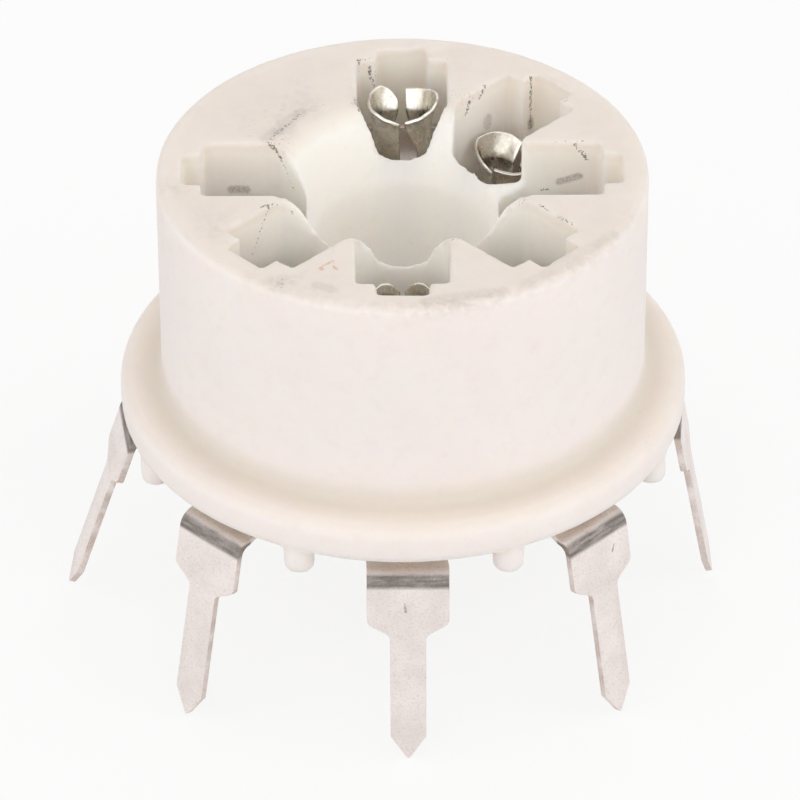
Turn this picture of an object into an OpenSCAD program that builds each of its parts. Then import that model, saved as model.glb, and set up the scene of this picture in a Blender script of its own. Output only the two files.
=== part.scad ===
// Seven-pin miniature tube socket for a circuit board, in white ceramic.
// Millimetres, +Z up. The origin is on the socket's axis, in the plane of the
// flange's underside. The gap in the circle of seven contacts is at azimuth 135.

/* [Pin circle] */
// Diameter of the circle that the tube's pins stand on
pin_circle_d = 9.525; // [8:0.005:11.5]
// Diameter of one tube pin
pin_d = 1.016; // [0.9:0.002:1.3]

/* [Ceramic barrel] */
// Height of the barrel above the flange
barrel_h = 7.58; // [6.3:0.01:12]
// Ceramic left between a latch pocket and the outside of the barrel
pocket_wall = 0.84; // [0.5:0.01:2]
// Rounding of the barrel's top edge
barrel_round = 0.25; // [0.1:0.05:0.5]
// Height of the small flash mark on the top rim
rim_mark_h = 0.1; // [0.05:0.01:0.2]

/* [Flange and underside] */
// How far the flange stands out from the barrel
flange_reach = 1.35; // [1.1:0.05:3]
// Thickness of the flange
flange_t = 1.45; // [1.2:0.05:2.5]
// Rounding of the flange's top edge
flange_round = 0.45; // [0.1:0.05:0.6]
// Rounding of the flange's lower edge
flange_under_round = 0.4; // [0.1:0.05:0.5]
// Fillet where the barrel meets the flange
collar_fillet = 0.4; // [0.1:0.05:0.5]
// How far the boss under the flange stands in from the flange's edge
boss_inset = 1.15; // [0.8:0.05:1.5]
// Height of the boss under the flange
boss_h = 0.4; // [0.3:0.01:1]
// Diameter of the nubs that keep the contact arms apart
nub_d = 1.0; // [0.8:0.05:1.2]
// How far a nub's outside stands in from the flange's edge
nub_inset = 0.06; // [0.03:0.01:0.3]
// Height of a nub below the boss
nub_drop = 0.5; // [0.4:0.05:1]

/* [Contact chambers] */
// Space in a chamber from the pin's centre towards the socket's axis
chamber_front = 1.64; // [1.5:0.01:1.8]
// Space in a chamber from the pin's centre to its outer wall
chamber_back = 1.66; // [1.5:0.01:2.2]
// Room between a folded contact and each side of its chamber
chamber_side_gap = 0.23; // [0.15:0.01:0.4]
// Width of the chamber's blunt inner end
chamber_nose_w = 1.6; // [1.2:0.05:1.8]
// Length over which the chamber narrows to its inner end
chamber_taper = 0.83; // [0.5:0.01:1]
// Least thickness of the fin between two chambers
fin_neck = 0.3; // [0.25:0.01:0.6]
// Wall between a chamber's inner end and the centre hole
core_wall = 0.32; // [0.25:0.01:0.6]
// Width of the latch pocket in a chamber's outer wall
pocket_w = 1.64; // [1.3:0.01:2]
// Depth of the latch pocket
pocket_depth = 0.64; // [0.5:0.01:0.9]
// Depth of the pocket's floor, the latch ledge, below the top
ledge_drop = 4.7; // [4:0.05:5.5]
// Bevel at the lower mouth of a chamber
mouth_bevel = 0.4; // [0.35:0.01:0.5]

/* [Central dish] */
// How far the dish's rim lies inside the pin circle
dish_rim_inset = 0.36; // [0.1:0.01:0.8]
// Depth at which the dish meets the centre hole
dish_depth = 2.5; // [2:0.05:3]
// Width of the dish's rounded lip, from its rim inward
dish_lip_w = 0.98; // [0.6:0.01:1.2]
// Fall of the dish's lip over that width
dish_lip_h = 0.3; // [0.1:0.01:0.6]

/* [Contact strip] */
// Thickness of the contact strip
strip_t = 0.22; // [0.18:0.01:0.3]
// Thickness of the coined spring leaves
leaf_t = 0.18; // [0.15:0.01:0.22]
// Outside width of the folded part of a contact
channel_w = 2.5; // [2.1:0.05:3]
// Bottom of the folded part above the flange's underside
channel_z0 = 0.3; // [0:0.05:1]
// Height of the folded part
channel_h = 2.15; // [1.5:0.05:2.6]
// Inside radius of the strip's bends
bend_r = 0.33; // [0.2:0.01:0.4]
// Gap between a contact's back and the chamber's outer wall
back_gap = 0.05; // [0.02:0.01:0.1]
// How far the latch tongue reaches over its ledge
latch_bite = 0.35; // [0.2:0.01:0.45]
// Width of the latch tongue
latch_w = 1.0; // [0.7:0.05:1.2]
// Length of the latch tongue
latch_l = 1.4; // [1:0.05:1.8]
// Height of the contact's back above the latch ledge
back_rise = 2.2; // [1.8:0.05:2.6]

/* [Spring leaves] */
// How much narrower than a pin each relaxed leaf pair is, on the radius
grip_squeeze = 0.028; // [0.01:0.002:0.06]
// Height of the round grip
grip_h = 0.6; // [0.4:0.05:1]
// Depth of the grip's top below the ceramic's top
grip_drop = 2.43; // [2:0.01:2.8]
// Depth of the petal's tip below the ceramic's top
petal_drop = 1.58; // [1.2:0.01:1.8]
// How much taller the leaves of the last contact stand
last_leaf_lift = 1.15; // [0:0.05:1.2]
// Room between a relaxed petal and the side of its chamber
petal_gap = 0.32; // [0.28:0.01:0.5]
// Angle that a grip covers round its pin
grip_angle = 160; // [120:1:170]
// Angle that a petal covers
petal_angle = 112; // [80:1:140]
// Largest width of a leaf
leaf_w = 1.7; // [1.2:0.05:2]
// Width of a leaf where it joins the grip
leaf_neck_w = 0.9; // [0.7:0.05:1.1]
// Height of the slope between a leaf's straight part and its grip
leaf_slope_h = 1.6; // [1:0.05:2]
// Running gap under a leaf's root
root_gap = 0.03; // [0.02:0.005:0.06]

/* [Tails] */
// How far a tail's outer face stands in from the flange's edge
tail_inset = 0.05; // [-0.6:0.01:0.2]
// Width of a contact arm and of the wide part of its tail
tail_w = 2.63; // [2.2:0.01:3]
// Width of a tail's solder pin
solder_w = 1.15; // [0.8:0.01:1.4]
// Length of a tail's wide part, from the end of its bend
wide_l = 1.25; // [0.5:0.05:1.6]
// Length of the shoulders that stop a tail on the board
shoulder_l = 0.65; // [0.3:0.05:0.9]
// Whole length of a tail, from the end of its bend
tail_l = 6.5; // [4.5:0.05:8]
// Length of the point at the end of a tail
point_l = 0.85; // [0.4:0.05:1.2]

/* [Hidden] */
contact_count = 7;
contact_pitch = 45;
gap_azimuth = 135;
// How far each tail has been bent outward and turned sideways, in degrees
tail_splay = [18.5, 11, 5, 10, 10.5, 6, 6];
tail_turn = [8, 1, 0, 0, -4, 0, 0];
// How far each tail stands to the side of its chamber's middle
tail_shift = [0.5, 0.33, 0.13, -0.34, 0.1, 0, 0];

pin_r = pin_circle_d / 2;
grip_r = pin_d / 2 - grip_squeeze;
chamber_w = channel_w + 2 * chamber_side_gap;
nose_r = pin_r - chamber_front;
half_pitch = contact_pitch / 2;
// Where a chamber's sides start to close in, so that the fin keeps its neck
corner_r = max(nose_r + chamber_taper,
               (chamber_w / 2 + fin_neck / 2 / cos(half_pitch)) / tan(half_pitch));
hole_r = nose_r - core_wall;
back_wall_r = pin_r + chamber_back;
pocket_r = back_wall_r + pocket_depth;
barrel_r = pocket_r + pocket_wall;
flange_r = barrel_r + flange_reach;
boss_r = flange_r - boss_inset;
top_z = flange_t + barrel_h;
ledge_z = top_z - ledge_drop;
dish_rim_r = pin_r - dish_rim_inset;

back_r = back_wall_r - back_gap - strip_t;
back_top = ledge_z + back_rise;
channel_top = channel_z0 + channel_h;
arm_z = -boss_h - strip_t / 2;
bend_mid = bend_r + strip_t / 2;
tail_bend_r = flange_r - tail_inset - bend_r - strip_t;
solder_start = wide_l + shoulder_l;

leaf_y = channel_w / 2 - leaf_t / 2;
root_z = channel_top + root_gap + leaf_t / 2;
grip_z1 = top_z - grip_drop;
grip_z0 = grip_z1 - grip_h;
petal_z = top_z - petal_drop;
leaf_lift = [0, 0, 0, 0, 0, 0, last_leaf_lift];
petal_r = chamber_w / 2 - petal_gap;
// A leaf's front edge follows the chamber's slanting side, a side gap away
edge_share = (channel_w / 2 + chamber_side_gap / 2 - chamber_nose_w / 2)
             / (chamber_w / 2 - chamber_nose_w / 2);
front_r = max(pin_r - leaf_w / 2, nose_r + (corner_r - nose_r) * edge_share);
leaf_x0 = front_r - pin_r;
leaf_x1 = leaf_w / 2;

eps = 0.01;
cut = 1;
wide_cut = 40;
body_fn = 128;
part_fn = 48;
arc_steps = 6;
dish_steps = 10;

contact_names = [for (i = [1:contact_count]) str("contact_", i)];

// Points on an arc round centre c, from angle a0 to angle a1
function arc(c, r, a0, a1) =
    [for (i = [0:arc_steps]) let (a = a0 + (a1 - a0) * i / arc_steps)
        [c.x + r * cos(a), c.y + r * sin(a)]];

function azimuth(i) = gap_azimuth + contact_pitch * i;

// Places its children in the frame of contact i: X outward, the pin at x = 0
module at_pin(i) {
    rotate([0, 0, azimuth(i)]) translate([pin_r, 0, 0]) children();
}

// Half of the body's outline, from the boss up over the flange to the top
module body_profile() {
    fillet_c = [barrel_r + collar_fillet, flange_t + collar_fillet];
    polygon(concat(
        [[0, -boss_h], [boss_r, -boss_h], [boss_r, 0]],
        arc([flange_r - flange_under_round, flange_under_round], flange_under_round, 270, 360),
        arc([flange_r - flange_round, flange_t - flange_round], flange_round, 0, 90),
        arc(fillet_c, collar_fillet, 270, 180),
        arc([barrel_r - barrel_round, top_z - barrel_round], barrel_round, 0, 90),
        [[0, top_z]]));
}

// Point at share t of the dish's curve, from the rim over the lip to the hole
function dish_point(t) =
    (1 - t) * (1 - t) * [dish_rim_r, top_z]
    + 2 * t * (1 - t) * [dish_rim_r - dish_lip_w, top_z - dish_lip_h]
    + t * t * [hole_r, top_z - dish_depth];

// Dish and centre hole, as one turned cut
module dish_profile() {
    polygon(concat([[0, -boss_h - cut], [hole_r, -boss_h - cut]],
        [for (i = [dish_steps:-1:0]) dish_point(i / dish_steps)],
        [[dish_rim_r, top_z + cut], [0, top_z + cut]]));
}

module chamber_plan() {
    polygon([[nose_r, -chamber_nose_w / 2], [corner_r, -chamber_w / 2],
             [back_wall_r, -chamber_w / 2], [back_wall_r, chamber_w / 2],
             [corner_r, chamber_w / 2], [nose_r, chamber_nose_w / 2]]);
}

// One chamber with its latch pocket and bevelled lower mouth
module chamber() {
    translate([0, 0, -boss_h - cut])
        linear_extrude(top_z + boss_h + 2 * cut) chamber_plan();
    translate([back_wall_r - cut, -pocket_w / 2, ledge_z])
        cube([pocket_depth + cut, pocket_w, ledge_drop + cut]);
    translate([0, chamber_w / 2, 0]) rotate([90, 0, 0]) linear_extrude(chamber_w)
        polygon([[back_wall_r - cut, mouth_bevel - boss_h],
                 [back_wall_r, mouth_bevel - boss_h],
                 [back_wall_r + mouth_bevel + cut, -boss_h - cut],
                 [back_wall_r - cut, -boss_h - cut]]);
}

// Nub between two arms, round at its end
module nub() {
    r = nub_d / 2;
    foot_z = -boss_h - nub_drop;
    rotate_extrude($fn = part_fn)
        polygon(concat([[0, flange_under_round], [0, foot_z]],
                       arc([r / 2, foot_z + r / 2], r / 2, 270, 360),
                       [[r, flange_under_round]]));
}

module ceramic_body() {
    color("#ece5dd") {
        difference() {
            rotate_extrude($fn = body_fn) body_profile();
            rotate_extrude($fn = body_fn) dish_profile();
            for (i = [1:contact_count]) rotate([0, 0, azimuth(i)]) chamber();
        }
        for (i = [0:contact_count])
            rotate([0, 0, azimuth(i) + half_pitch])
                translate([flange_r - nub_inset - nub_d / 2, 0, 0]) nub();
        rotate([0, 0, 83]) translate([barrel_r - barrel_round - 0.6, -0.5, top_z - eps])
            cube([0.5, 1, rim_mark_h + eps]);
    }
}

// Quarter bend of the strip about the Y axis, from level towards straight down
module bend(angle, width) {
    rotate([-90, -90, 0]) translate([0, 0, -width / 2])
        rotate_extrude(angle = angle, $fn = part_fn)
            translate([bend_r, 0]) square([strip_t, width]);
}

module tail_outline() {
    w = tail_w / 2;
    s = solder_w / 2;
    nose = 0.08;
    // The shoulder swings in from the wide part to the solder pin
    shoulder = [for (i = [0:arc_steps]) let (t = i / arc_steps)
        [s + (w - s) * (1 + cos(180 * t)) / 2, wide_l + shoulder_l * t]];
    right = concat([[w, -eps]], shoulder, [[s, tail_l - point_l], [nose, tail_l - nose]]);
    polygon(concat(right, [[0, tail_l]],
        [for (i = [len(right) - 1:-1:0]) [-right[i].x, right[i].y]]));
}

// Outer end of a contact: its bend over the edge and the solder tail
module tail(i) {
    sweep = 90 - tail_splay[i - 1];
    bend_z = -boss_h - strip_t - bend_r;
    translate([tail_bend_r, tail_shift[i - 1], 0]) rotate([0, 0, tail_turn[i - 1]])
        translate([0, 0, bend_z]) {
            bend(sweep, tail_w);
            translate([bend_mid * sin(sweep), 0, bend_mid * cos(sweep)])
                rotate([0, -tail_splay[i - 1], 0]) rotate([-90, 0, 90])
                    linear_extrude(strip_t, center = true) tail_outline();
        }
}

// Arm under the boss; its outer end is round where the tail is turned
module arm(i) {
    inner = back_wall_r - back_gap + bend_r;
    translate([inner - eps, -channel_w / 2, -boss_h - strip_t])
        cube([boss_r - inner, channel_w, strip_t]);
    hull() {
        translate([boss_r - 1, -channel_w / 2, -boss_h - strip_t])
            cube([eps, channel_w, strip_t]);
        translate([tail_bend_r, tail_shift[i - 1], arm_z])
            rotate([0, 0, tail_turn[i - 1]])
                cube([eps, tail_w, strip_t], center = true);
    }
}

// U of folded strip, open towards the socket's axis
module channel() {
    back = back_r + strip_t;
    translate([0, 0, channel_z0]) linear_extrude(channel_h) difference() {
        translate([front_r, -channel_w / 2]) square([back - front_r, channel_w]);
        translate([front_r - cut, leaf_t - channel_w / 2])
            square([back_r - front_r + cut, channel_w - 2 * leaf_t]);
    }
}

// Back of the contact, with the window that its latch tongue was punched from
module back_plate() {
    inner_bend_z = bend_r - boss_h;
    difference() {
        translate([back_r, -channel_w / 2, inner_bend_z])
            cube([strip_t, channel_w, back_top - inner_bend_z]);
        translate([back_r - cut, -latch_w / 2, ledge_z + root_gap])
            cube([strip_t + 2 * cut, latch_w, latch_l]);
    }
}

// Tongue that springs out over the ledge and holds the contact in
module latch() {
    reach = back_gap + latch_bite;
    face = back_r + strip_t;
    translate([0, latch_w / 2, 0]) rotate([90, 0, 0]) linear_extrude(latch_w)
        polygon([[face - strip_t, ledge_z + root_gap + latch_l + eps],
                 [face, ledge_z + root_gap + latch_l + eps],
                 [face + reach, ledge_z + root_gap],
                 [face + reach - strip_t, ledge_z + root_gap]]);
}

module contact(i) {
    color("#c9c8c0") rotate([0, 0, azimuth(i)]) {
        back_plate();
        latch();
        channel();
        translate([back_wall_r - back_gap + bend_r, 0, bend_r - boss_h])
            rotate([0, 180, 0]) bend(90, channel_w);
        arm(i);
        tail(i);
    }
}

// Side view of a leaf below its grip: straight up, then sloping in to the pin
module leaf_profile(lift) {
    h = leaf_t / 2;
    grip_y = grip_r + h + eps;
    joint_z = grip_z0 + lift;
    slope_z = joint_z - leaf_slope_h;
    polygon(concat(
        arc([leaf_y, root_z], h, 180, 360),
        [[leaf_y + h, slope_z], [grip_y + h, joint_z], [grip_y + h, joint_z + eps],
         [grip_y - h, joint_z + eps], [grip_y - h, joint_z], [leaf_y - h, slope_z]]));
}

// Front view of a leaf below its grip
module leaf_outline(lift) {
    neck = leaf_neck_w / 2;
    joint_z = grip_z0 + lift;
    polygon([[leaf_x0, root_z - leaf_t], [leaf_x1, root_z - leaf_t],
             [leaf_x1, joint_z - leaf_slope_h], [neck, joint_z + cut],
             [-neck, joint_z + cut], [leaf_x0, joint_z - leaf_slope_h]]);
}

// Wall section of the grip, and of the petal that flares from it
module grip_section() {
    translate([grip_r, grip_z0]) square([leaf_t, grip_h + eps]);
}

module petal_section() {
    out = petal_r - leaf_t;
    mid_z = grip_z1 + (petal_z - grip_z1) * 0.45;
    mid_r = grip_r + (out - grip_r) * 0.62;
    polygon([[grip_r, grip_z1], [mid_r, mid_z], [out, petal_z],
             [out + leaf_t, petal_z], [mid_r + leaf_t, mid_z - leaf_t / 2],
             [grip_r + leaf_t, grip_z1]]);
}

// One spring leaf of contact i; side is 1 on the left and -1 on the right
module leaf(i, side) {
    lift = leaf_lift[i - 1];
    color("#d6d5cc") at_pin(i) mirror([0, side < 0 ? 1 : 0, 0]) {
        intersection() {
            rotate([90, 0, 90]) translate([0, 0, -wide_cut / 2])
                linear_extrude(wide_cut) leaf_profile(lift);
            translate([0, wide_cut / 2, 0]) rotate([90, 0, 0])
                linear_extrude(wide_cut) leaf_outline(lift);
        }
        translate([0, 0, lift]) rotate([0, 0, 90 - grip_angle / 2])
            rotate_extrude(angle = grip_angle, $fn = part_fn) grip_section();
        translate([0, 0, lift]) rotate([0, 0, 90 - petal_angle / 2])
            rotate_extrude(angle = petal_angle, $fn = part_fn) petal_section();
    }
}

ceramic_body();
for (i = [1:contact_count]) {
    contact(i);
    leaf(i, 1);
    leaf(i, -1);
}
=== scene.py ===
import math

import bmesh
import bpy
import numpy as np
from mathutils import Matrix, Vector, noise


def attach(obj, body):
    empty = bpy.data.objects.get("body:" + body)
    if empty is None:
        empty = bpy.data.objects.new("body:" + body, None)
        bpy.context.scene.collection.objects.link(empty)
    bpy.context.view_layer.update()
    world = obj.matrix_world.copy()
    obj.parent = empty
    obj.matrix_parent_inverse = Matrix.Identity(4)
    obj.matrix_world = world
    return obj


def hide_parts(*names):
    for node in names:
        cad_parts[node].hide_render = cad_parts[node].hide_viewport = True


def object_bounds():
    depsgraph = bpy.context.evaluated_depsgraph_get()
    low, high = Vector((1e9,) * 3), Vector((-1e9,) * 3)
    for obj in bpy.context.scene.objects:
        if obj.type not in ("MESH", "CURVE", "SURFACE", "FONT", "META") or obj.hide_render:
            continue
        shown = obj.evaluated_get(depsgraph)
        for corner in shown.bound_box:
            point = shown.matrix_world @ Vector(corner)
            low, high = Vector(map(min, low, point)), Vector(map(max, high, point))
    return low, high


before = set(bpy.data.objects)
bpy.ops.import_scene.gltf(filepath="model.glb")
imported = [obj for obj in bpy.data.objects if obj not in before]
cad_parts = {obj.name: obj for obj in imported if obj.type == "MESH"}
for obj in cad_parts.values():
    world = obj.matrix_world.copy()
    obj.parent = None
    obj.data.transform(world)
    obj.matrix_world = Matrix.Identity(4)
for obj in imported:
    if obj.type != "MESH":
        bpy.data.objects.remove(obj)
cad_lo, cad_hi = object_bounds()

MM = 0.001

# ---- Sizes shared with the CAD model, in mm and degrees
PIN_R = 4.7625
LEAF_Y = 1.16
LEAF_FOOT_Z = 2.48
GRIP_TOP_Z = 6.6
LEAF_T = 0.11
PITCH = 45.0
GAP_AZIMUTH = 135.0
# How much taller the leaves of contact 7 stand
LAST_LIFT = 1.15


def azimuth(i):
    """Direction of contact i, in radians."""
    return math.radians(GAP_AZIMUTH + PITCH * i)


def in_slot(i, x, y, z):
    """World point in mm for a point in contact i's frame: x from the axis, y to the left."""
    a = azimuth(i)
    return Vector((math.cos(a) * x - math.sin(a) * y, math.sin(a) * x + math.cos(a) * y, z))


def polar(az, r, z):
    """World point in mm at an azimuth in degrees and a radius."""
    a = math.radians(az)
    return Vector((math.cos(a) * r, math.sin(a) * r, z))


# ---- Meshes

def linked(name, data):
    """New object in the scene."""
    obj = bpy.data.objects.new(name, data)
    bpy.context.scene.collection.objects.link(obj)
    return obj


def settle(obj):
    """Applies the modifiers of obj."""
    graph = bpy.context.evaluated_depsgraph_get()
    mesh = bpy.data.meshes.new_from_object(obj.evaluated_get(graph))
    old = obj.data
    obj.modifiers.clear()
    obj.data = mesh
    bpy.data.meshes.remove(old)


def coords(mesh):
    co = np.empty(len(mesh.vertices) * 3)
    mesh.vertices.foreach_get("co", co)
    return co.reshape(-1, 3)


def write(mesh, co):
    mesh.vertices.foreach_set("co", np.asarray(co, np.float32).ravel())
    mesh.update()


def edge_pairs(mesh):
    e = np.empty(len(mesh.edges) * 2, np.int64)
    mesh.edges.foreach_get("vertices", e)
    return e.reshape(-1, 2)


def neighbour_count(e, n):
    return np.maximum(np.bincount(e.ravel(), minlength=n), 1)


def neighbour_mean(values, e, count):
    """Mean of a value over each vertex's neighbours."""
    n = len(count)
    total = np.bincount(e[:, 0], values[e[:, 1]], n) + np.bincount(e[:, 1], values[e[:, 0]], n)
    return total / count


def mean_step(co, e, count):
    """Vector from each vertex to the mean of its neighbours."""
    return np.stack([neighbour_mean(co[:, k], e, count) for k in range(3)], axis=1) - co


def normals(mesh):
    n = np.empty(len(mesh.vertices) * 3)
    mesh.vertices.foreach_get("normal", n)
    return n.reshape(-1, 3)


def field(co, scale, seed):
    """Smooth noise, about -1 to 1, at points in mm."""
    s = Vector((seed * 7.31, seed * 3.17, seed * 1.73))
    return np.array([noise.noise(Vector(p) * scale + s) for p in co])


# Faces that meet at less than this many degrees are joined, and edges shorter than this go
FLAT_ANGLE, SHORT_EDGE = 0.5, 0.03


def cad_copy(node, name, plain=False):
    """Copy in mm of a CAD node, its doubled vertices merged. A plain one has fewer faces."""
    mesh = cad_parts[node].data.copy()
    mesh.materials.clear()
    mesh.transform(Matrix.Scale(1 / MM, 4))
    bm = bmesh.new()
    bm.from_mesh(mesh)
    bmesh.ops.remove_doubles(bm, verts=bm.verts, dist=1e-4)
    if plain:
        limit = math.radians(FLAT_ANGLE)
        bmesh.ops.dissolve_limit(bm, angle_limit=limit, verts=bm.verts, edges=bm.edges)
        bmesh.ops.dissolve_degenerate(bm, dist=SHORT_EDGE, edges=bm.edges)
    bm.to_mesh(mesh)
    bm.free()
    return linked(name, mesh)


# Shares of the mean step that one round of smoothing goes in and then back out
STEP_IN, STEP_OUT = 0.5, 0.46


def worn_copy(node, name, voxel, rounds, faces, dents, dent_scale, seed, cuts=()):
    """Copy of a CAD node with rounded edges and a slightly uneven surface."""
    obj = cad_copy(node, name)
    for corners in cuts:
        tool = hull(corners)
        mod = obj.modifiers.new("cut", "BOOLEAN")
        mod.operation = "DIFFERENCE"
        mod.solver = "EXACT"
        mod.object = tool
        settle(obj)
        bpy.data.objects.remove(tool)
    mod = obj.modifiers.new("voxels", "REMESH")
    mod.mode = "VOXEL"
    mod.voxel_size = voxel
    settle(obj)
    co, e = coords(obj.data), edge_pairs(obj.data)
    count = neighbour_count(e, len(co))
    for _ in range(rounds):
        co = co + STEP_IN * mean_step(co, e, count)
        co = co - STEP_OUT * mean_step(co, e, count)
    co = co + STEP_IN * mean_step(co, e, count)
    write(obj.data, co)
    mod = obj.modifiers.new("fewer", "DECIMATE")
    mod.ratio = min(1.0, faces / (2 * len(obj.data.polygons)))
    settle(obj)
    co = coords(obj.data)
    co = co + normals(obj.data) * (dents * field(co, dent_scale, seed))[:, None]
    write(obj.data, co)
    return obj


def ring_cuts(mesh, least_radius, heights):
    """Level rows of vertices on the faces that lie outside a radius."""
    bm = bmesh.new()
    bm.from_mesh(mesh)
    least2 = least_radius ** 2
    faces = [f for f in bm.faces if min(v.co.x ** 2 + v.co.y ** 2 for v in f.verts) > least2]
    edges = list({e for f in faces for e in f.edges})
    geom = faces + edges + list({v for f in faces for v in f.verts})
    for z in heights:
        done = bmesh.ops.bisect_plane(bm, geom=geom, plane_co=(0, 0, z), plane_no=(0, 0, 1))
        geom = done["geom"]
    bmesh.ops.triangulate(bm, faces=[f for f in bm.faces if len(f.verts) > 3])
    bm.to_mesh(mesh)
    bm.free()


def hull(corners):
    """Solid convex hull of some points."""
    bm = bmesh.new()
    for corner in corners:
        bm.verts.new(corner)
    bmesh.ops.convex_hull(bm, input=bm.verts)
    mesh = bpy.data.meshes.new("cutter")
    bm.to_mesh(mesh)
    bm.free()
    return linked("cutter", mesh)


def crisp_copy(node, name, width, angle):
    """Copy of a CAD node whose sharp edges are bevelled by width."""
    obj = cad_copy(node, name, plain=True)
    mod = obj.modifiers.new("edges", "BEVEL")
    mod.width = width
    mod.use_clamp_overlap = False
    mod.segments = 3
    mod.limit_method = "ANGLE"
    mod.angle_limit = math.radians(angle)
    mod = obj.modifiers.new("faces", "TRIANGULATE")
    settle(obj)
    return obj


def attribute(mesh, name, values, domain="POINT"):
    a = mesh.attributes.new(name, "FLOAT", domain)
    a.data.foreach_set("value", np.asarray(values, np.float32))


def finish_piece(obj, body, nodes, material):
    """Scales a piece from mm to metres and registers it."""
    obj.data.transform(Matrix.Scale(MM, 4))
    obj.data.polygons.foreach_set("use_smooth", [True] * len(obj.data.polygons))
    obj.data.update()
    obj.data.materials.clear()
    obj.data.materials.append(material)
    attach(obj, body)
    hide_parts(*nodes)


def blobs(co, spots):
    """Sum of soft round spots, each (place, radius, strength)."""
    out = np.zeros(len(co))
    for place, radius, strength in spots:
        d2 = ((co - np.array(place)) ** 2).sum(1)
        out += strength * np.exp(-d2 / (radius * radius))
    return np.clip(out, 0, 1)


# ---- Materials

# Share of a line's width that is at full strength
STROKE_CORE = 0.35


class Graph:
    """Builds the node tree of a material or a world."""

    def __init__(self, owner, output="ShaderNodeOutputMaterial"):
        owner.use_nodes = True
        self.owner = owner
        self.tree = owner.node_tree
        self.tree.nodes.clear()
        self.output = self.add(output)

    def add(self, kind, _set=None, **inputs):
        """New node. An input is fed by name, or by number as i0, i1 and so on."""
        node = self.tree.nodes.new(kind)
        for key, value in (_set or {}).items():
            setattr(node, key, value)
        for key, value in inputs.items():
            numbered = key[0] == "i" and key[1:].isdigit()
            self.feed(node.inputs[int(key[1:]) if numbered else key.replace("_", " ")], value)
        return node

    def feed(self, socket, value):
        if isinstance(value, bpy.types.NodeSocket):
            self.tree.links.new(value, socket)
        else:
            socket.default_value = value

    def math(self, operation, a, b=0.0, clamp=False):
        settings = {"operation": operation, "use_clamp": clamp}
        return self.add("ShaderNodeMath", _set=settings, i0=a, i1=b).outputs[0]

    def vector(self, operation, a, b=None, out=0, scale=None):
        node = self.add("ShaderNodeVectorMath", _set={"operation": operation}, i0=a)
        if b is not None:
            self.feed(node.inputs[1], b)
        if scale is not None:
            self.feed(node.inputs["Scale"], scale)
        return node.outputs[out]

    def ramp(self, value, lo, hi, out_lo=0.0, out_hi=1.0, smooth=True):
        settings = {"interpolation_type": "SMOOTHSTEP" if smooth else "LINEAR"}
        node = self.add("ShaderNodeMapRange", _set=settings,
                        i0=value, i1=lo, i2=hi, i3=out_lo, i4=out_hi)
        return node.outputs[0]

    def mix(self, factor, a, b):
        """Colour a, or b where the factor is 1."""
        node = self.add("ShaderNodeMix", _set={"data_type": "RGBA"})
        self.feed(node.inputs[0], factor)
        self.feed(node.inputs[6], a)
        self.feed(node.inputs[7], b)
        return node.outputs[2]

    def noise(self, place, scale, detail=2.0, roughness=0.5):
        node = self.add("ShaderNodeTexNoise", Vector=place, Scale=scale,
                        Detail=detail, Roughness=roughness)
        return node.outputs[0]

    def attribute(self, name):
        node = self.add("ShaderNodeAttribute", _set={"attribute_name": name})
        return node.outputs["Fac"]

    def place_mm(self):
        coord = self.add("ShaderNodeTexCoord")
        return self.vector("SCALE", coord.outputs["Object"], scale=1 / MM)

    def bump(self, height, distance, strength):
        node = self.add("ShaderNodeBump", Height=height, Distance=distance, Strength=strength)
        return node.outputs[0]

    def segment(self, place, a, b, width):
        """1 on the line from a to b, falling to 0 at width from it."""
        a, b = Vector(a), Vector(b)
        along = b - a
        d = self.vector("SUBTRACT", place, a)
        reach = self.vector("DOT_PRODUCT", d, along, out=1)
        share = self.math("DIVIDE", reach, along.length_squared, clamp=True)
        foot = self.vector("SCALE", tuple(along), scale=share)
        gap = self.vector("DISTANCE", d, foot, out=1)
        return self.ramp(gap, width, width * STROKE_CORE)

    def strokes(self, place, rows):
        """Strongest of several lines, each (end, end, width, strength)."""
        total = None
        for a, b, width, strength in rows:
            one = self.math("MULTIPLY", self.segment(place, a, b, width), strength)
            total = one if total is None else self.math("MAXIMUM", total, one)
        return total

    def seen(self):
        """1 for a camera, glossy or transmission ray."""
        path = self.add("ShaderNodeLightPath").outputs
        total = self.math("ADD", path["Is Camera Ray"], path["Is Glossy Ray"], clamp=True)
        return self.math("ADD", total, path["Is Transmission Ray"], clamp=True)

    def principled(self, **inputs):
        """Principled shader, sent to the output."""
        node = self.add("ShaderNodeBsdfPrincipled", **inputs)
        self.tree.links.new(node.outputs[0], self.output.inputs[0])
        return node

    def shader_mix(self, factor, a, b):
        """Shader a, or b where the factor is 1, sent to the output."""
        mix = self.add("ShaderNodeMixShader", i0=factor)
        self.tree.links.new(a.outputs[0], mix.inputs[1])
        self.tree.links.new(b.outputs[0], mix.inputs[2])
        self.tree.links.new(mix.outputs[0], self.output.inputs[0])


def srgb(r, g, b):
    """Linear colour from 0-255 screen values."""
    def one(v):
        v /= 255
        return v / 12.92 if v <= 0.04045 else ((v + 0.055) / 1.055) ** 2.4
    return (one(r), one(g), one(b), 1.0)


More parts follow.
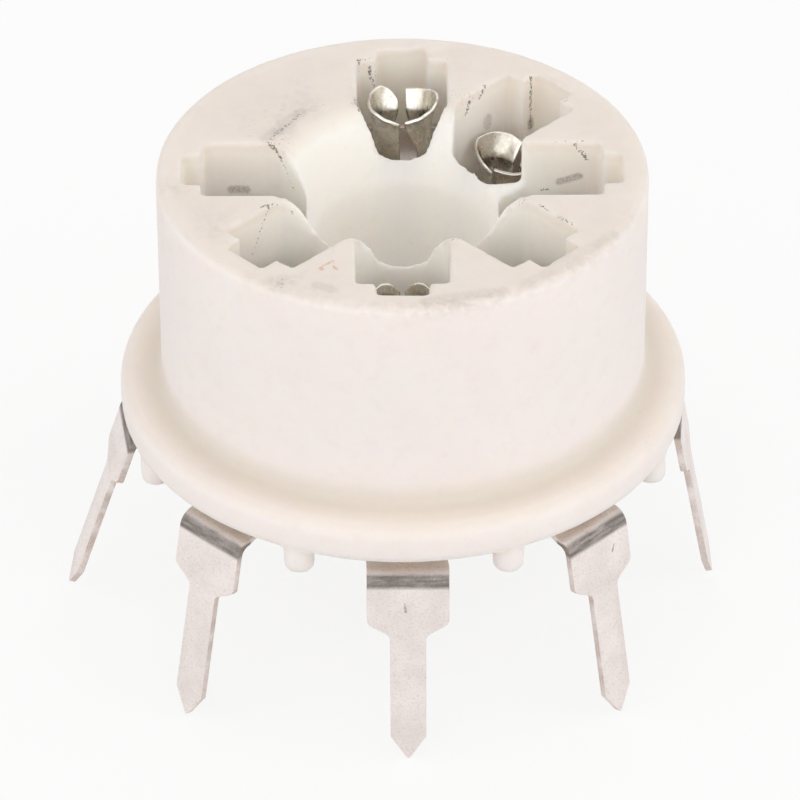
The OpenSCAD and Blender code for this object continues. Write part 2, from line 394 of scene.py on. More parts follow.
# Dotted dark lines scraped along edges: ends, width, strength
LINES = [
    (in_slot(7, 6.42, 0.80, 9.05), in_slot(7, 6.42, 0.80, 7.75), 0.12, 0.95),
    (in_slot(7, 6.42, 1.44, 9.02), in_slot(7, 6.42, 1.44, 7.8), 0.1, 0.7),
    (in_slot(7, 6.42, 1.08, 8.75), in_slot(7, 6.42, 0.92, 7.9), 0.1, 0.85),
    (in_slot(7, 6.45, 1.40, 9.05), in_slot(7, 6.45, 1.15, 9.05), 0.08, 0.68),
    (in_slot(7, 6.42, -0.84, 9.0), in_slot(7, 6.42, -0.84, 8.1), 0.08, 0.47),
    (in_slot(7, 6.42, -1.5, 9.02), in_slot(7, 6.42, -1.5, 8.0), 0.08, 0.34),
    (in_slot(7, 4.05, 1.5, 9.05), in_slot(7, 3.75, 1.38, 8.8), 0.11, 0.81),
    (in_slot(7, 3.75, 1.38, 8.7), in_slot(7, 3.35, 1.0, 7.6), 0.08, 0.51),
    (in_slot(7, 3.9, -1.1, 8.0), in_slot(7, 3.3, -0.9, 7.3), 0.10, 0.72),
    (in_slot(6, 6.8, 0.82, 9.03), in_slot(6, 6.8, 0.82, 7.0), 0.11, 0.95),
    (in_slot(6, 5.05, 1.5, 8.7), in_slot(6, 5.4, 1.5, 9.03), 0.11, 0.75),
    (in_slot(6, 4.45, 1.5, 8.35), in_slot(6, 4.6, 1.5, 8.75), 0.11, 0.77),
    (in_slot(6, 5.9, 1.6, 9.05), in_slot(6, 6.7, 1.4, 9.05), 0.08, 0.47),
    (in_slot(6, 6.8, -0.86, 9.03), in_slot(6, 5.4, -1.5, 9.03), 0.08, 0.51),
    (in_slot(5, 4.3, 1.5, 9.05), in_slot(5, 5.9, 1.5, 9.03), 0.09, 0.64),
    (in_slot(5, 5.6, 1.5, 8.9), in_slot(5, 5.95, 1.5, 8.4), 0.11, 0.7),
    (in_slot(5, 4.5, 1.48, 7.2), in_slot(5, 4.75, 1.48, 7.2), 0.07, 1.00),
    (in_slot(5, 3.9, 1.45, 9.0), in_slot(5, 3.5, 1.15, 8.0), 0.08, 0.64),
    (in_slot(5, 6.42, 1.3, 8.9), in_slot(5, 6.42, 1.3, 7.2), 0.07, 0.26),
    (in_slot(4, 4.6, 1.55, 9.05), in_slot(4, 6.1, 1.5, 9.03), 0.09, 0.68),
    (in_slot(4, 4.0, 1.5, 9.0), in_slot(4, 3.1, 1.2, 7.4), 0.09, 0.72),
    (in_slot(4, 4.1, -1.6, 9.0), in_slot(4, 5.4, -1.5, 9.0), 0.08, 0.42),
    (in_slot(3, 4.0, 1.55, 9.0), in_slot(3, 3.98, 1.5, 8.2), 0.10, 0.72),
    (in_slot(3, 3.9, 1.5, 9.05), in_slot(3, 3.5, 1.2, 9.0), 0.10, 0.68),
    (in_slot(2, 4.5, -1.5, 9.0), in_slot(2, 5.35, -1.48, 7.45), 0.08, 0.68),
    (in_slot(2, 6.4, 0.9, 9.03), in_slot(2, 5.5, 1.45, 9.03), 0.09, 0.59),
    (in_slot(2, 4.75, -1.6, 9.03), in_slot(2, 3.95, -1.4, 9.03), 0.09, 0.72),
    (in_slot(2, 3.95, -1.4, 9.03), in_slot(2, 3.7, -1.2, 8.4), 0.09, 0.77),
    (in_slot(1, 4.3, -1.5, 9.05), in_slot(1, 3.85, -1.4, 8.4), 0.10, 0.72),
    (in_slot(1, 3.85, -1.4, 8.4), in_slot(1, 3.5, -1.1, 7.4), 0.08, 0.64),
    (in_slot(1, 4.6, 1.55, 9.05), in_slot(1, 3.9, 1.4, 9.0), 0.09, 0.59),
    (polar(158, 4.62, 9.05), polar(134, 4.58, 9.05), 0.11, 0.64),
    (polar(-170, 2.83, 6.4), polar(165, 2.9, 6.9), 0.07, 0.26),
    (polar(-121, 7.3, 9.05), polar(-119, 7.7, 9.0), 0.10, 0.68),
    (polar(176, 7.6, 9.05), polar(-173, 6.65, 9.05), 0.08, 0.38),
]
# Grey smudges in the chambers and on the top: ends, width, strength
SMUDGES = [
    (in_slot(5, 5.1, 1.48, 7.48), in_slot(5, 5.7, 1.48, 7.7), 0.19, 0.9),
    (in_slot(1, 5.05, -1.48, 7.22), in_slot(1, 5.55, -1.48, 7.25), 0.2, 0.9),
    (in_slot(6, 5.45, 1.48, 7.7), in_slot(6, 5.45, 1.48, 7.45), 0.26, 0.6),
    (in_slot(6, 6.8, 0.82, 7.3), in_slot(6, 6.8, 0.82, 7.05), 0.2, 1.0),
    (polar(-84, 7.5, 9.0), polar(-66, 7.55, 9.0), 0.35, 0.24),
    (polar(-60, 7.6, 9.0), polar(-30, 7.65, 9.0), 0.3, 0.16),
    (polar(-112, 7.1, 9.0), polar(-108, 7.15, 9.0), 0.3, 0.25),
    (polar(158, 4.7, 9.0), polar(135, 4.65, 9.0), 0.35, 0.35),
]
# Two rust strokes on the top: ends, width, strength
RUST = [
    (polar(-112.5, 5.75, 9.0), polar(-114, 6.2, 9.0), 0.14, 1.0),
    (polar(-111.5, 5.9, 9.0), polar(-110, 6.05, 9.0), 0.1, 1.0),
]


def ceramic_material():
    g = Graph(bpy.data.materials.new("white_ceramic"))
    p = g.place_mm()
    wobble = g.add("ShaderNodeTexNoise", Vector=p, Scale=3.0, Detail=2.0)
    offset = g.vector("SUBTRACT", wobble.outputs[1], (0.5, 0.5, 0.5))
    shifted = g.vector("ADD", p, g.vector("SCALE", offset, scale=0.12))
    # Partly painted shade: faces that look up, and the dish, are painted creamier and darker than
    # the pinker sides; the tone shift is the ceramic's own, the darker top is painted shade
    cream_top_shade = g.attribute("cream_top_shade")
    broad = g.noise(p, 0.35, 3.0, 0.6)
    tone = g.math("ADD", cream_top_shade, g.ramp(broad, 0.35, 0.65, -0.12, 0.12), clamp=True)
    colour = g.mix(tone, srgb(246, 237, 234), srgb(236, 226, 217))
    # Painted light: the chambers, the dish and the undersides are painted near white to cancel
    # the shade they lie in
    deep_painted_light = g.attribute("deep_painted_light")
    colour = g.mix(deep_painted_light, colour, srgb(255, 249, 241))
    # Painted shade in the crease of the collar, where the barrel meets the flange
    colour = g.mix(g.attribute("collar_shade"), colour, srgb(224, 214, 200))
    mottle = g.noise(p, 1.6, 4.0, 0.6)
    colour = g.mix(g.ramp(mottle, 0.5, 0.75, 0.0, 0.1), colour, srgb(216, 206, 196))
    # Soft grey rubs along the front edge and in the slots
    cloud = g.noise(shifted, 3.4, 4.0, 0.6)
    rub = g.math("MULTIPLY", g.attribute("smudge"), g.ramp(cloud, 0.38, 0.62, 0.2, 1.0))
    colour = g.mix(g.math("MULTIPLY", rub, 0.6), colour, srgb(150, 144, 138))
    patchy = g.ramp(g.noise(p, 16.0, 3.0, 0.6), 0.35, 0.65, 0.35, 0.75)
    smudge = g.math("MULTIPLY", g.strokes(shifted, SMUDGES), patchy)
    colour = g.mix(smudge, colour, srgb(146, 139, 131))
    edge_rub = g.math("MULTIPLY", g.attribute("edge"), g.ramp(g.noise(p, 1.1, 3.0), 0.45, 0.7))
    colour = g.mix(g.math("MULTIPLY", edge_rub, 0.2), colour, srgb(176, 168, 160))
    # Dark dots, many along scraped lines and few elsewhere
    lines = g.strokes(shifted, LINES)
    fine = g.noise(p, 13.0, 3.0, 0.7)
    level = g.ramp(g.attribute("grime"), 0.0, 1.0, 0.735, 0.6, smooth=False)
    top_only = g.math("SUBTRACT", cream_top_shade, deep_painted_light)
    fewer = g.math("MULTIPLY", top_only, g.ramp(broad, 0.45, 0.6, 0.0, 0.03))
    level = g.math("SUBTRACT", level, fewer)
    level = g.math("SUBTRACT", level, g.math("MULTIPLY", lines, 0.25))
    dots = g.ramp(g.math("SUBTRACT", fine, level), 0.0, 0.04)
    dark = g.mix(g.ramp(lines, 0.3, 0.9), srgb(124, 117, 110), srgb(84, 78, 74))
    colour = g.mix(g.math("MULTIPLY", dots, 0.8), colour, dark)
    rust = g.math("MULTIPLY", g.strokes(shifted, RUST), g.ramp(g.noise(p, 4.5, 3.0), 0.38, 0.55))
    colour = g.mix(g.math("MULTIPLY", rust, 0.6), colour, srgb(214, 150, 118))
    grain = g.noise(p, 14.0, 4.0, 0.65)
    waves = g.noise(p, 2.2, 3.0, 0.5)
    rough = g.ramp(mottle, 0.3, 0.7, 0.55, 0.72)
    height = g.math("ADD", g.math("MULTIPLY", grain, 0.4), waves)
    normal = g.bump(height, 0.00003, 0.6)
    node = g.principled(Base_Color=colour, Roughness=rough, Normal=normal)
    node.inputs["Specular IOR Level"].default_value = 0.35
    node.inputs["Subsurface Weight"].default_value = 0.5
    node.inputs["Subsurface Radius"].default_value = (1.0, 0.75, 0.55)
    node.inputs["Subsurface Scale"].default_value = 0.0009
    return g.owner


# Small dark scratches on the tails: ends, width, strength
TIN_MARKS = [
    (in_slot(3, 9.2, 0.24, -0.45), in_slot(3, 9.25, 0.27, -0.85), 0.07, 1.0),
    (in_slot(3, 9.3, 0.02, -1.45), in_slot(3, 9.3, 0.06, -1.75), 0.07, 1.0),
    (in_slot(2, 9.3, -0.1, -4.6), in_slot(2, 9.3, 0.12, -4.7), 0.05, 1.0),
    (in_slot(4, 9.3, 0.3, -1.3), in_slot(4, 9.3, 0.2, -1.5), 0.05, 1.0),
]


# Heights and radii between which the bend is darkened with tarnish and a painted dark reflection,
# and the shoulders rust, in mm
BEND_LOW, BEND_HIGH, BEND_R = (-0.98, -0.8), (-0.42, -0.56), (8.6, 8.8)
SHOULDER_LOW, SHOULDER_HIGH = (-3.0, -2.6), (-1.9, -2.2)


def tin_material():
    g = Graph(bpy.data.materials.new("tinned_strip"))
    p = g.place_mm()
    speckle = g.noise(p, 13.0, 4.0, 0.7)
    broad = g.noise(p, 0.9, 3.0, 0.55)
    colour = g.mix(g.ramp(broad, 0.3, 0.7), srgb(240, 231, 227), srgb(229, 219, 215))
    colour = g.mix(g.ramp(speckle, 0.48, 0.7, 0.0, 0.4), colour, srgb(186, 176, 170))
    # Dark streaks where the strip is bent: partly tarnish, partly a painted dark reflection
    stretched = g.vector("MULTIPLY", p, (0.6, 0.6, 5.0))
    streaks = g.noise(stretched, 2.0, 4.0, 0.6)
    xyz = g.add("ShaderNodeSeparateXYZ", Vector=p)
    radial = g.vector("LENGTH", g.vector("MULTIPLY", p, (1, 1, 0)), out=1)
    height = xyz.outputs["Z"]
    band = g.math("MULTIPLY", g.ramp(height, *BEND_LOW), g.ramp(height, *BEND_HIGH))
    bend = g.math("MULTIPLY", band, g.ramp(radial, *BEND_R))
    tarnish_and_dark_reflection = g.math("MULTIPLY", bend, g.ramp(streaks, 0.3, 0.65, 0.75, 1.0))
    colour = g.mix(g.math("MULTIPLY", tarnish_and_dark_reflection, 0.92), colour, srgb(104, 97, 91))
    # Sheared edges show the base metal
    shear = g.math("MULTIPLY", g.attribute("shear"), g.ramp(g.noise(p, 1.5, 3.0), 0.2, 0.7))
    colour = g.mix(g.math("MULTIPLY", shear, 0.5), colour, srgb(176, 158, 144))
    # A little rust on the sheared edges beside the shoulders
    corner = g.math("MULTIPLY", g.ramp(height, *SHOULDER_LOW), g.ramp(height, *SHOULDER_HIGH))
    corner = g.math("MULTIPLY", corner, g.ramp(g.noise(p, 2.2, 3.0), 0.5, 0.62))
    rust = g.math("MULTIPLY", corner, g.attribute("shear"))
    colour = g.mix(g.math("MULTIPLY", rust, 0.7), colour, srgb(168, 112, 82))
    broken = g.ramp(g.noise(p, 12.0, 3.0), 0.4, 0.55, 0.3, 0.9)
    colour = g.mix(g.math("MULTIPLY", g.strokes(p, TIN_MARKS), broken), colour, srgb(104, 97, 92))
    rougher = g.math("MULTIPLY", g.math("MAXIMUM", shear, bend), 0.2)
    rough = g.math("ADD", g.ramp(speckle, 0.35, 0.7, 0.36, 0.5), rougher)
    relief = g.math("ADD", speckle, g.math("MULTIPLY", g.noise(p, 1.8, 3.0), 0.8))
    node = g.principled(Base_Color=colour, Roughness=rough, Normal=g.bump(relief, 0.00002, 0.3))
    node.inputs["Metallic"].default_value = 1.0
    return g.owner


def leaf_material():
    g = Graph(bpy.data.materials.new("spring_leaf"))
    p = g.place_mm()
    broad = g.noise(p, 1.2, 3.0, 0.55)
    colour = g.mix(g.ramp(broad, 0.3, 0.7), srgb(222, 219, 211), srgb(198, 192, 180))
    # Olive-brown patches: partly stains, partly a painted dark reflection of the shaded chambers
    stain_and_dark_reflection = g.noise(p, 3.5, 4.0, 0.65)
    colour = g.mix(g.ramp(stain_and_dark_reflection, 0.56, 0.72, 0.0, 0.3), colour, srgb(140, 128, 108))
    rough = g.ramp(stain_and_dark_reflection, 0.3, 0.7, 0.2, 0.36)
    waves = g.noise(p, 1.6, 2.0, 0.5)
    node = g.principled(Base_Color=colour, Roughness=rough, Normal=g.bump(waves, 0.00006, 0.6))
    node.inputs["Metallic"].default_value = 1.0
    return g.owner


# ---- Ceramic

# The fin between contacts 5 and 6 ends in a steep nose: what is cut away in front of it
FIN_NOSE = [in_slot(5.5, r, y, z) for r in (2.95, 4.2) for y in (-0.9, 0.9) for z in (7.35, 9.6)]
# Where dark dots gather: place, radius, strength
CERAMIC_GRIME = [
    (in_slot(6, 4.6, 1.5, 9.0), 0.45, 0.9), (in_slot(6, 5.4, 1.45, 9.0), 0.35, 0.5),
    (in_slot(6, 6.5, 0.9, 9.0), 0.3, 0.6), (in_slot(6, 6.9, -0.9, 9.0), 0.25, 0.5),
    (in_slot(6, 3.6, 1.2, 9.0), 0.3, 0.6), (in_slot(6, 7.05, 0.81, 8.0), 0.3, 0.5),
    (in_slot(5, 5.4, 1.48, 8.9), 0.5, 1.0), (in_slot(5, 5.9, 1.3, 8.4), 0.3, 0.7),
    (in_slot(5, 6.6, 0.9, 8.9), 0.4, 0.45), (in_slot(5, 5.0, -1.5, 8.8), 0.4, 0.6),
    (in_slot(5, 7.1, 0.0, 9.0), 0.35, 0.4),
    (in_slot(4, 4.6, 1.5, 9.0), 0.5, 0.55), (in_slot(4, 5.6, 1.5, 9.0), 0.4, 0.55),
    (in_slot(4, 3.3, -0.9, 8.9), 0.35, 0.55), (in_slot(4, 5.5, -1.5, 9.0), 0.4, 0.4),
    (in_slot(7, 6.4, 1.4, 9.0), 0.35, 0.9), (in_slot(7, 6.4, 0.85, 9.0), 0.25, 0.8),
    (in_slot(7, 4.2, 1.5, 9.0), 0.3, 0.7), (in_slot(7, 4.2, -1.5, 9.0), 0.3, 0.6),
    (in_slot(7, 6.5, -1.2, 9.0), 0.4, 0.4), (in_slot(7, 3.2, -0.9, 8.4), 0.3, 0.8),
    (in_slot(1, 5.0, 1.5, 8.8), 0.45, 0.7), (in_slot(1, 4.2, -1.5, 9.0), 0.5, 0.5),
    (in_slot(2, 5.2, 1.5, 9.0), 0.5, 0.5), (in_slot(2, 4.3, -1.5, 9.0), 0.4, 0.5),
    (in_slot(2, 6.6, 0.9, 9.0), 0.35, 0.4), (in_slot(3, 4.2, 1.4, 9.0), 0.4, 0.6),
    (in_slot(3, 4.2, -1.4, 9.0), 0.4, 0.6), (polar(155, 4.5, 9.0), 0.8, 0.5),
    (polar(125, 4.6, 9.0), 0.7, 0.45), (polar(62, 4.5, 8.9), 0.5, 0.5),
    (polar(-80, 7.85, 9.0), 0.7, 0.35), (polar(-62, 7.85, 9.0), 0.6, 0.35),
    (polar(-100, 7.85, 9.0), 0.5, 0.4), (polar(-45, 7.8, 9.0), 0.6, 0.35),
    (polar(-30, 8.9, 1.3), 0.5, 0.6), (polar(-22, 7.95, 5.5), 0.5, 0.35),
]
# Soft grey rubs: place, radius, strength
CERAMIC_SMUDGE = [
    (in_slot(3, 4.4, 1.48, 8.8), 0.25, 0.6), (in_slot(3, 4.2, -1.48, 8.7), 0.3, 0.45),
    (polar(-150, 6.9, 9.0), 0.5, 0.3), (polar(-172, 7.3, 9.0), 0.5, 0.3),
    (polar(150, 4.6, 9.0), 0.5, 0.45), (polar(132, 4.7, 9.0), 0.5, 0.4),
    (in_slot(7, 4.0, 1.5, 9.0), 0.25, 0.6),
    (polar(-111, 7.2, 9.0), 0.4, 0.35), (polar(-121, 7.45, 9.0), 0.3, 0.6),
]
# The soft rub that follows the front edge, strongest right of the middle
for az in range(-128, -18, 4):
    strength = 0.16
    for middle, more in ((-76, 0.34), (-42, 0.14)):
        strength += more * math.exp(-((az - middle) / 14) ** 2)
    CERAMIC_SMUDGE.append((polar(az, 7.72, 8.97), 0.3, strength))

body = worn_copy("ceramic_body", "ceramic", voxel=0.09, rounds=14, faces=120000,
                 dents=0.012, dent_scale=0.8, seed=1, cuts=[FIN_NOSE])

# The barrel's side, made round again: the CAD mesh is a prism with many sides
SIDE_LEAST_R, SIDE_TILT = 7.6, 0.15
SIDE_LOW_Z, SIDE_HIGH_Z = 2.3, 8.6
SIDE_ROWS = (2.32, 2.6, 3.1, 4.0, 5.2, 6.4, 7.4, 8.1, 8.5, 8.66, 8.74, 8.82, 8.9)
ring_cuts(body.data, SIDE_LEAST_R, SIDE_ROWS)
co, nrm, pairs = coords(body.data), normals(body.data), edge_pairs(body.data)
radius = np.hypot(co[:, 0], co[:, 1])
side = ((np.abs(nrm[:, 2]) < SIDE_TILT) & (radius > SIDE_LEAST_R)
        & (co[:, 2] > SIDE_LOW_Z) & (co[:, 2] < SIDE_HIGH_Z))
co[side, :2] *= (np.median(radius[side]) / radius[side])[:, None]

# How much each vertex stands out from its neighbours: 0 on flat faces, 1 on an edge
EDGE_FROM, EDGE_OVER = 1.0, 1.6
EDGE_ROUNDS, EDGE_SPREAD = 3, 0.6
count = neighbour_count(pairs, len(co))
gap2 = ((co[pairs[:, 0]] - co[pairs[:, 1]]) ** 2).sum(1)
gap2 = (np.bincount(pairs[:, 0], gap2, len(co)) + np.bincount(pairs[:, 1], gap2, len(co))) / count
bulge = -2 * (mean_step(co, pairs, count) * nrm).sum(1) / np.maximum(gap2, 1e-9)
for _ in range(EDGE_ROUNDS):
    bulge = bulge + EDGE_SPREAD * (neighbour_mean(bulge, pairs, count) - bulge)
edge = np.where(side, 0, np.clip((bulge - EDGE_FROM) / EDGE_OVER, 0, 1))

# Small chips along the edges
CHIP_DEPTH, CHIP_SCALE, CHIP_SEED = 0.03, 2.6, 5
chips = np.clip(field(co, CHIP_SCALE, CHIP_SEED), 0, 1)
write(body.data, co - nrm * (edge * chips * CHIP_DEPTH)[:, None])

# Where the shader's tones, marks, painted light and painted shade go. The collar's painted shade
# is a radius and a height, a reach, a strength
DISH_R, CHAMBERS_R, RIM_Z = 7.3, 7.25, 8.95
TOP_SHADE_CREAM, UNDERSIDE_TILT = 0.85, -0.4
COLLAR_SHADE = ((8.15, 1.65), 0.45, 0.9)
radius = np.hypot(co[:, 0], co[:, 1])
# Partly painted shade: faces that look up, and the dish, are marked for the darker cream tone
up = np.clip((nrm[:, 2] - 0.2) / 0.6, 0, 1)
inside = ((radius < DISH_R) & (co[:, 2] > 0)).astype(float)
attribute(body.data, "cream_top_shade", np.clip(np.maximum(up * TOP_SHADE_CREAM, inside), 0, 1))
# Painted light: faces below the rim inside the chambers, and faces that look down, get the
# near-white colour that cancels their shade
below = np.clip((RIM_Z - co[:, 2]) / 0.5, 0, 1) * (radius < CHAMBERS_R)
attribute(body.data, "deep_painted_light", np.maximum(below, nrm[:, 2] < UNDERSIDE_TILT))
attribute(body.data, "edge", edge)
attribute(body.data, "collar_shade", blobs(np.c_[radius, co[:, 2]], [COLLAR_SHADE]))
attribute(body.data, "grime", blobs(co, CERAMIC_GRIME))
attribute(body.data, "smudge", blobs(co, CERAMIC_SMUDGE))
finish_piece(body, "socket", ["ceramic_body"], ceramic_material())

# ---- Contacts

tin = tin_material()
for i in range(1, 8):
    name = f"contact_{i}"
    strip = crisp_copy(name, f"strip_{i}", width=0.02, angle=24)
    a = azimuth(i)
    flat = np.empty(len(strip.data.polygons) * 3)
    strip.data.polygons.foreach_get("normal", flat)
    flat = flat.reshape(-1, 3)
    # The strip's cut edges face along its width
    across = flat[:, 1] * math.cos(a) - flat[:, 0] * math.sin(a)
    attribute(strip.data, "shear", np.clip((np.abs(across) - 0.35) / 0.3, 0, 1), "FACE")
    finish_piece(strip, "socket", [name], tin)

# ---- Spring leaves

STEM_ROWS, PETAL_ROWS, COLS = 22, 12, 20
# Half of the flat width at a leaf's foot, and the heights over which it becomes round
FOOT_HALF = 0.81
FORMED = [(3.4, 0.0), (5.0, 1.0)]
# Heights at which the front edge opens, with the share of the opening
OPENED = [(3.6, 0.0), (5.0, 1.0), (5.9, 1.0), (6.6, 0.0)]
# The petal: how square its wrap is, its flare and its curled rim
SQUARE, FLARED_SQUARE = 0.8, 0.15
FLARE_POWER, FLARE_FRONT, FLARE_BACK = 1.6, 0.1, 0.42
CURL, CURL_DROP = 0.05, 0.6
# The leaf's lean and turn start at this height and are full this much higher
TURN_Z, TURN_RISE = 5.4, 2.0
# Least distance of a leaf's middle surface from the plane between the two leaves
CLEAR = 0.075
# Height, side reach, front depth, back depth, front and back ends of the wrap in degrees
STEM = [(4.0, 1.12, 0.8, 0.8, -50, 45), (5.0, 1.06, 0.66, 0.72, -62, 60),
        (5.8, 0.98, 0.54, 0.6, -80, 72), (6.6, 0.93, 0.5, 0.55, -88, 86)]
# How tall the petal stands round its wrap, in mm, from its front end to its back end
RIM = [(-1.0, 0.03), (-0.75, 0.18), (-0.4, 0.38), (-0.1, 0.5),
       (0.25, 0.58), (0.55, 0.6), (0.8, 0.5), (1.0, 0.3)]
RIM_7_LEFT = [(-1.0, 0.16), (-0.75, 0.34), (-0.4, 0.55), (0.0, 0.68),
              (0.3, 0.82), (0.6, 0.88), (0.82, 0.66), (1.0, 0.25)]
RIM_7_RIGHT = [(-1.0, 0.26), (-0.75, 0.38), (-0.4, 0.62), (-0.1, 0.86),
               (0.15, 0.92), (0.4, 0.84), (0.7, 0.72), (1.0, 0.66)]
RIM_3 = [(-1.0, 0.5), (-0.8, 0.86), (-0.6, 0.9), (-0.3, 0.72), (0.0, 0.6), (0.4, 0.5), (1.0, 0.3)]
RIM_6_LEFT = [(-1.0, 0.2), (-0.75, 0.4), (-0.4, 0.62), (0.0, 0.84),
              (0.4, 0.9), (0.7, 0.86), (1.0, 0.7)]
RIM_6_RIGHT = [(-1.0, 0.5), (-0.6, 0.55), (-0.2, 0.6), (0.2, 0.6), (0.6, 0.5), (1.0, 0.3)]


def between(keys, x):
    """Smooth interpolation in a list of (x, values...)."""
    if x <= keys[0][0]:
        return keys[0][1:]
    for lo, hi in zip(keys, keys[1:]):
        if x <= hi[0]:
            t = (x - lo[0]) / (hi[0] - lo[0])
            t = t * t * (3 - 2 * t)
            return tuple(a + (b - a) * t for a, b in zip(lo[1:], hi[1:]))
    return keys[-1][1:]


def wrap_point(phi, side, front, rear, square=SQUARE):
    """Point of a rounded wrap round the pin, phi from the front to the back."""
    s, c = math.sin(phi), math.cos(phi)
    depth = front if s < 0 else rear
    return depth * math.copysign(abs(s) ** square, s), side * max(c, 0.0) ** square


def wrap_angles(a0, a1):
    """Share from -1 to 1 and angle in radians of each column between two angles in degrees."""
    for k in range(COLS + 1):
        u = 2 * k / COLS - 1
        yield u, math.radians(a0 + (a1 - a0) * (u + 1) / 2)


def leaf_points(i, shape):
    """Rows of points of one leaf in its contact's frame, pin at x = 0, leaf on the +y side."""
    rim_keys, reach, opening, lean, turn = shape
    rise = max(key[1] for key in rim_keys)
    lift = LAST_LIFT if i == 7 else 0.0
    height = GRIP_TOP_Z - LEAF_FOOT_Z
    stretch = (GRIP_TOP_Z + lift - LEAF_FOOT_Z) / height
    points = []
    for j in range(STEM_ROWS + 1):
        z = LEAF_FOOT_Z + height * j / STEM_ROWS
        side, front, rear, a0, a1 = between(STEM, z)
        a0 += opening * between(OPENED, z)[0]
        formed = between(FORMED, z)[0]
        for u, phi in wrap_angles(a0, a1):
            x, y = wrap_point(phi, side, front, rear)
            flat_x = FOOT_HALF * u
            x, y = flat_x + (x - flat_x) * formed, LEAF_Y + (y - LEAF_Y) * formed
            points.append((x, y, LEAF_FOOT_Z + (z - LEAF_FOOT_Z) * stretch))
    side, front, rear, a0, a1 = STEM[-1][1:]
    for j in range(1, PETAL_ROWS + 1):
        t = j / PETAL_ROWS
        curl = CURL * t ** 5
        for u, phi in wrap_angles(a0, a1):
            h = between(rim_keys, u)[0] * t
            flare = math.sin(0.5 * math.pi * max(h, 0.0) / rise) ** FLARE_POWER
            x, y = wrap_point(phi, side + (reach - side) * flare + curl,
                              front + FLARE_FRONT * flare + curl,
                              rear + FLARE_BACK * flare + curl,
                              SQUARE + FLARED_SQUARE * flare)
            points.append((x, y, GRIP_TOP_Z + lift + h - CURL_DROP * curl))
    out = []
    for x, y, z in points:
        w = min(1.0, max(0.0, (z - TURN_Z - lift) / TURN_RISE))
        c, s = math.cos(math.radians(turn) * w), math.sin(math.radians(turn) * w)
        x += lean * w
        out.append((c * x - s * y, max(s * x + c * y, CLEAR), z))
    return out


def leaf_object(i, label, sign, shape):
    """Formed sheet of one leaf, sign 1 on the left and -1 on the right."""
    points = [in_slot(i, PIN_R + x, sign * y, z) for x, y, z in leaf_points(i, shape)]
    n = COLS + 1
    faces = []
    for j in range(STEM_ROWS + PETAL_ROWS):
        for k in range(COLS):
            a = j * n + k
            quad = (a, a + 1, a + n + 1, a + n)
            faces.append(quad if sign > 0 else quad[::-1])
    mesh = bpy.data.meshes.new(f"leaf_{i}_{label}")
    mesh.from_pydata([tuple(p) for p in points], [], faces)
    obj = linked(f"leaf_{i}_{label}", mesh)
    mod = obj.modifiers.new("thick", "SOLIDIFY")
    mod.thickness = LEAF_T
    mod.offset = 0
    mod = obj.modifiers.new("round", "SUBSURF")
    mod.levels = mod.render_levels = 2
    settle(obj)
    return obj


def taller(scale):
    return [(u, h * scale) for u, h in RIM]


silver = leaf_material()
# Rim heights, side reach, opening of the front edge in degrees, lean outward, turn in degrees
LEAF_SHAPES = {
    (7, "left"): (RIM_7_LEFT, 1.08, -14, 0.0, 0),
    (7, "right"): (RIM_7_RIGHT, 1.13, 14, 0.0, 0),
    (6, "left"): (RIM_6_LEFT, 1.2, 0, 0.0, 0),
    (6, "right"): (RIM_6_RIGHT, 1.05, 0, 0.0, 0),
    (3, "left"): (RIM_3, 1.05, 0, 0.0, 2),
    (3, "right"): (RIM_3, 1.07, 0, 0.02, 0),
    (2, "left"): (taller(1.25), 1.04, 0, 0.05, 3),
    (2, "right"): (taller(1.15), 1.03, 0, 0.03, 0),
    (4, "left"): (taller(1.15), 1.03, 0, 0.05, 0),
    (4, "right"): (taller(1.25), 1.04, 0, 0.05, 2),
}
for i in range(1, 8):
    for label, sign in (("left", 1), ("right", -1)):
        plain = (RIM, 1.02, 0, 0.02, (i * 2 + sign) % 5 - 1)
        shape = LEAF_SHAPES.get((i, label), plain)
        leaf = leaf_object(i, label, sign, shape)
        node = f"contact_{i}_{label}_leaf"
        finish_piece(leaf, node, [node], silver)

# ---- Floor, light and camera

# Share of the floor's look that is plain white glow
FLOOR_GLOW = 0.78


def stage_material():
    g = Graph(bpy.data.materials.new("studio_floor"))
    p = g.place_mm()
    tone = g.ramp(g.noise(p, 0.02, 2.0), 0.3, 0.7)
    tone = g.mix(tone, srgb(250, 250, 250), srgb(247, 247, 247))
    glow = g.add("ShaderNodeEmission", Color=(1.0, 1.0, 1.0, 1.0), Strength=1.0)
    seen = g.seen()
    surface = g.add("ShaderNodeBsdfDiffuse", Color=g.mix(seen, srgb(220, 219, 217), tone))
    g.shader_mix(g.math("MULTIPLY", seen, FLOOR_GLOW), surface, glow)
    return g.owner


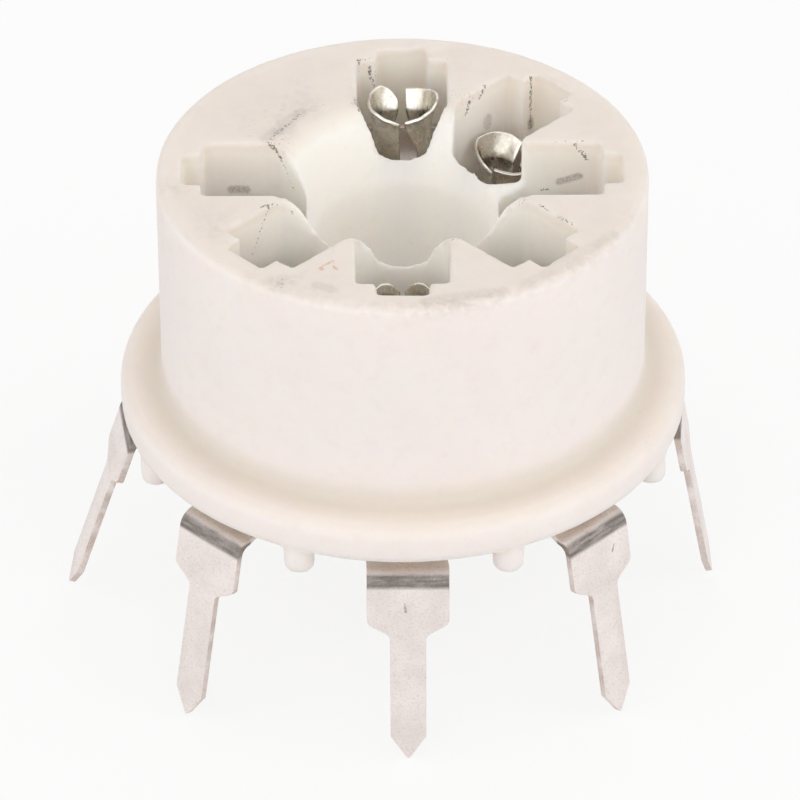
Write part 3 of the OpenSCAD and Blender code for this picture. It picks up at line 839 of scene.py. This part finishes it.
# Half the floor's width, and its gap below the tails, in metres
FLOOR_HALF, FLOOR_GAP = 1.2, 0.00002
floor_z = cad_lo[2] - FLOOR_GAP
corners = [(x * FLOOR_HALF, y * FLOOR_HALF, floor_z)
           for x, y in ((-1, -1), (1, -1), (1, 1), (-1, 1))]
floor_mesh = bpy.data.meshes.new("studio_floor")
floor_mesh.from_pydata(corners, [], [(0, 1, 2, 3)])
floor = linked("studio_floor", floor_mesh)
floor_mesh.materials.append(stage_material())

world = bpy.data.worlds.new("studio")
bpy.context.scene.world = world
g = Graph(world, "ShaderNodeOutputWorld")
sky = g.add("ShaderNodeBackground", Color=(1.0, 0.995, 0.985, 1.0), Strength=0.46)
white_sky = g.add("ShaderNodeBackground", Strength=1.0)
g.shader_mix(g.seen(), sky, white_sky)


LAMP_SIZE = 0.46


def softbox(name, place, power):
    """Round lamp that faces the object."""
    data = bpy.data.lights.new(name, "AREA")
    data.shape = "DISK"
    data.size = LAMP_SIZE
    data.energy = power
    lamp = linked(name, data)
    lamp.location = place
    lamp.visible_camera = False
    lamp.rotation_euler = (-Vector(place)).to_track_quat("-Z", "Y").to_euler()


softbox("key", (-0.02, -0.27, 0.2), 0.46)
softbox("right", (0.32, -0.1, 0.14), 0.6)
softbox("left", (-0.32, -0.1, 0.14), 0.48)
softbox("rear", (0.04, 0.32, 0.17), 0.36)

# The camera's height angle, roll, distance, aim and focal length in picture widths
ELEVATION = math.radians(35.88)
ROLL = math.radians(-0.22)
DISTANCE = 198.1 * MM
TARGET = Vector((-0.1017, 0.0, -0.1442)) * MM
FOCAL = 6017 / 800
back = Vector((0, -math.cos(ELEVATION), math.sin(ELEVATION)))
across = Vector((1, 0, 0))
upward = Vector((0, math.sin(ELEVATION), math.cos(ELEVATION)))
cam_x = across * math.cos(ROLL) + upward * math.sin(ROLL)
cam_y = upward * math.cos(ROLL) - across * math.sin(ROLL)
camera_data = bpy.data.cameras.new("camera")
camera_data.sensor_width = 36.0
camera_data.lens = FOCAL * camera_data.sensor_width
camera_data.clip_start = 0.01
camera = linked("camera", camera_data)
turn = Matrix((cam_x, cam_y, back)).transposed().to_4x4()
camera.matrix_world = Matrix.Translation(TARGET + back * DISTANCE) @ turn
bpy.context.scene.camera = camera

bpy.context.scene.view_settings.view_transform = "Standard"
